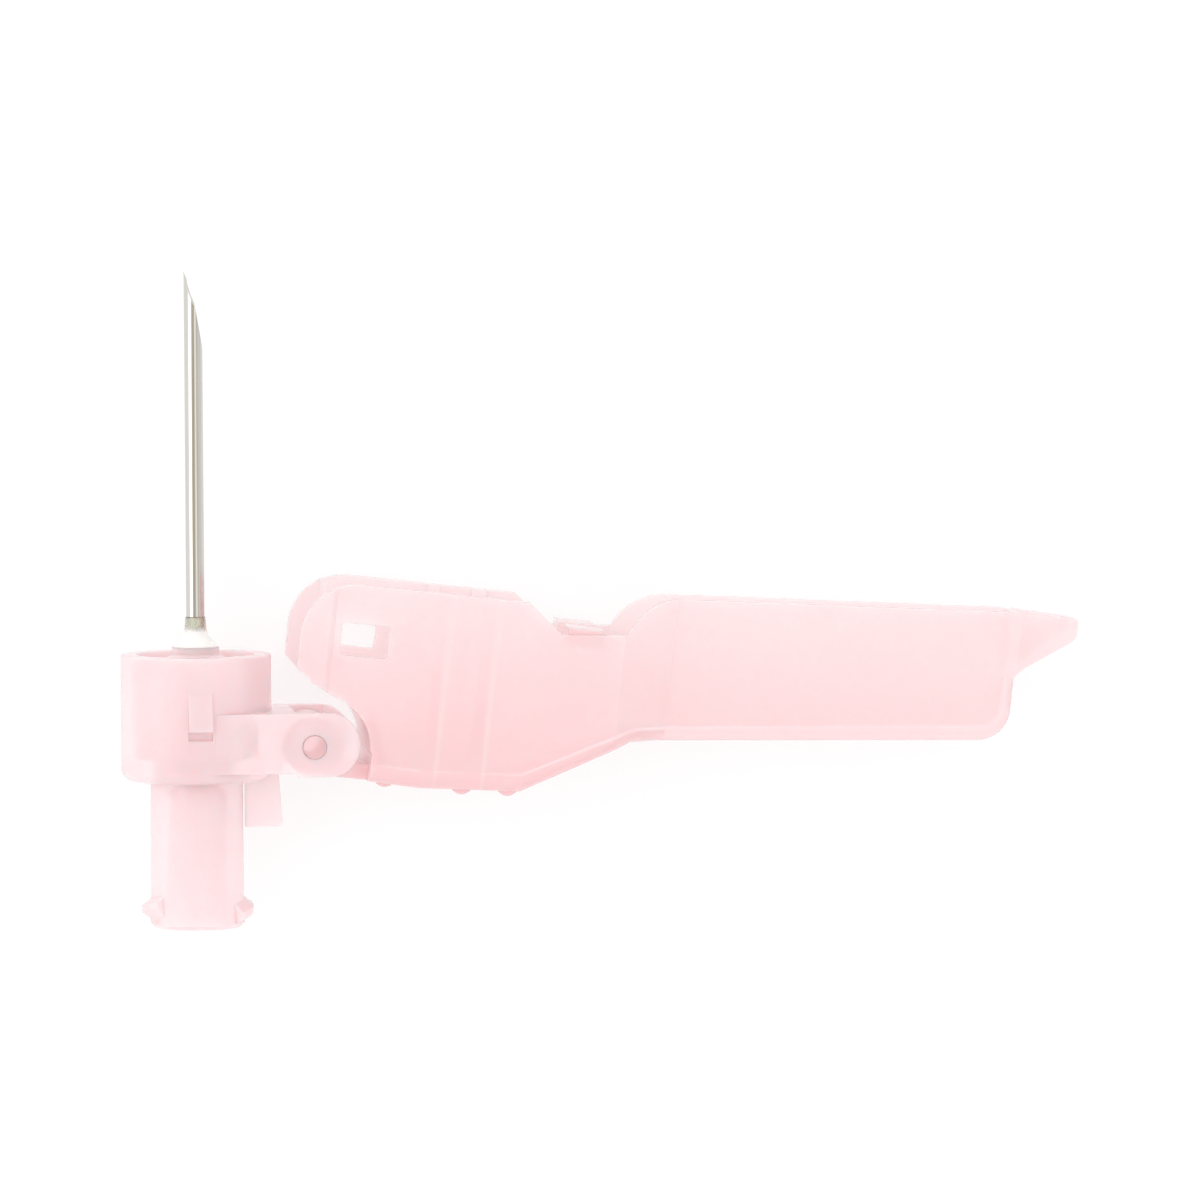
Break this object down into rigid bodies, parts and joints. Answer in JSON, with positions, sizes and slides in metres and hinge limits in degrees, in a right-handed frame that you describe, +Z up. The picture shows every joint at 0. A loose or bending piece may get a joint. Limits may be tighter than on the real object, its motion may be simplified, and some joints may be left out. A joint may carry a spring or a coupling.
{
  "type": "safety hypodermic needle",
  "caption": "Hypodermic needle on a female Luer lock hub, with a turning collar and a hinged shield that swings over the needle and locks.",
  "frame": {"origin": "centre of the Luer socket's mouth, on the needle's axis", "axes": "+Y along the needle from the mouth to the tip, +X from the needle towards the hinge and along the opened shield, +Z up as it lies on its side"},
  "size_m": [0.0662, 0.0451, 0.0134],
  "materials": {
    "clear_pink_plastic": "translucent pale pink polypropylene, satin moulded",
    "needle_steel": "bright drawn stainless steel",
    "bond": "cured whitish epoxy, glossy"
  },
  "bodies": {
    "hub": {"hub": "clear_pink_plastic", "cannula": "needle_steel", "adhesive": "bond"},
    "collar": {"collar": "clear_pink_plastic"},
    "shield": {"shield": "clear_pink_plastic"}
  },
  "joints": [
    {"name": "collar_swivel", "type": "hinge", "parent": "hub", "child": "collar", "pos_m": [0, 0.0109, 0], "axis": [0, 1, 0], "continuous": true},
    {"name": "shield_hinge", "type": "hinge", "parent": "collar", "child": "shield", "pos_m": [0.0078, 0.01265, 0], "axis": [0, 0, 1], "range_deg": [-80, 96.7]}
  ]
}
